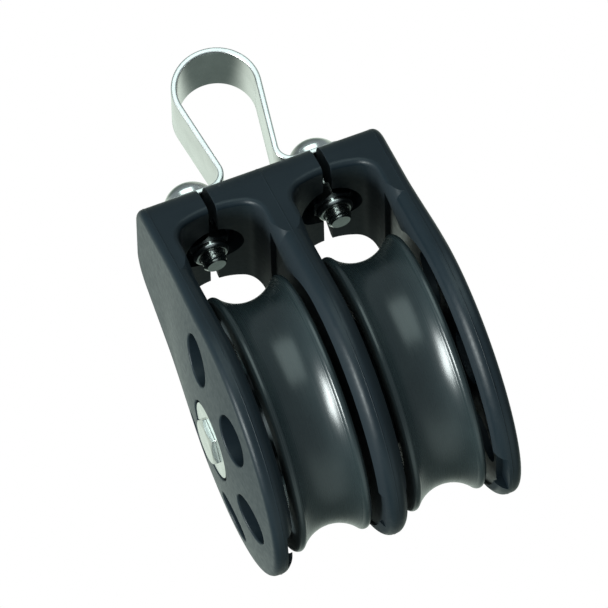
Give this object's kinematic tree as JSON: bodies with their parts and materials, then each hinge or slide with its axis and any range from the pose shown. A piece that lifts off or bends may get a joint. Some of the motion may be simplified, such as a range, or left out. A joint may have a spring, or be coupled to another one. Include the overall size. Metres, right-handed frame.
{
  "type": "double pulley block",
  "caption": "Boat block with plain-bearing sheaves side by side between moulded cheeks on one axle, and a stainless strap eye screwed to the head.",
  "frame": {"origin": "middle of the axle, halfway between the two sheaves", "axes": "+Z from the axle to the strap eye, +Y along the axle from the bolt head to the nut, X the way the lines run, front to back"},
  "size_m": [0.058, 0.058, 0.1063],
  "materials": {
    "cheek_nylon": "fine moulded grain, matte",
    "sheave_acetal": "turned and satin smooth",
    "stainless": "bright machined stainless steel",
    "polished_stainless": "polished stainless strip with rounded edges",
    "lock_ring_nylon": "nylon, satin"
  },
  "bodies": {
    "frame": {"left_cheek": "cheek_nylon", "centre_cheek": "cheek_nylon", "right_cheek": "cheek_nylon", "left_bearing_sleeve": "stainless", "right_bearing_sleeve": "stainless", "axle_bolt": "stainless", "axle_head_washer": "stainless", "axle_nut_washer": "stainless", "axle_nut": "stainless", "axle_nut_ring": "lock_ring_nylon", "eye_strap": "polished_stainless", "left_strap_screw": "stainless", "right_strap_screw": "stainless", "left_strap_nut": "stainless", "right_strap_nut": "stainless", "left_strap_nut_ring": "lock_ring_nylon", "right_strap_nut_ring": "lock_ring_nylon"},
    "left_sheave": {"left_sheave": "sheave_acetal"},
    "right_sheave": {"right_sheave": "sheave_acetal"}
  },
  "joints": [
    {"name": "left_sheave_spin", "type": "hinge", "parent": "frame", "child": "left_sheave", "pos_m": [0, -0.0119, 0], "axis": [0, 1, 0], "continuous": true},
    {"name": "right_sheave_spin", "type": "hinge", "parent": "frame", "child": "right_sheave", "pos_m": [0, 0.0119, 0], "axis": [0, 1, 0], "continuous": true}
  ]
}
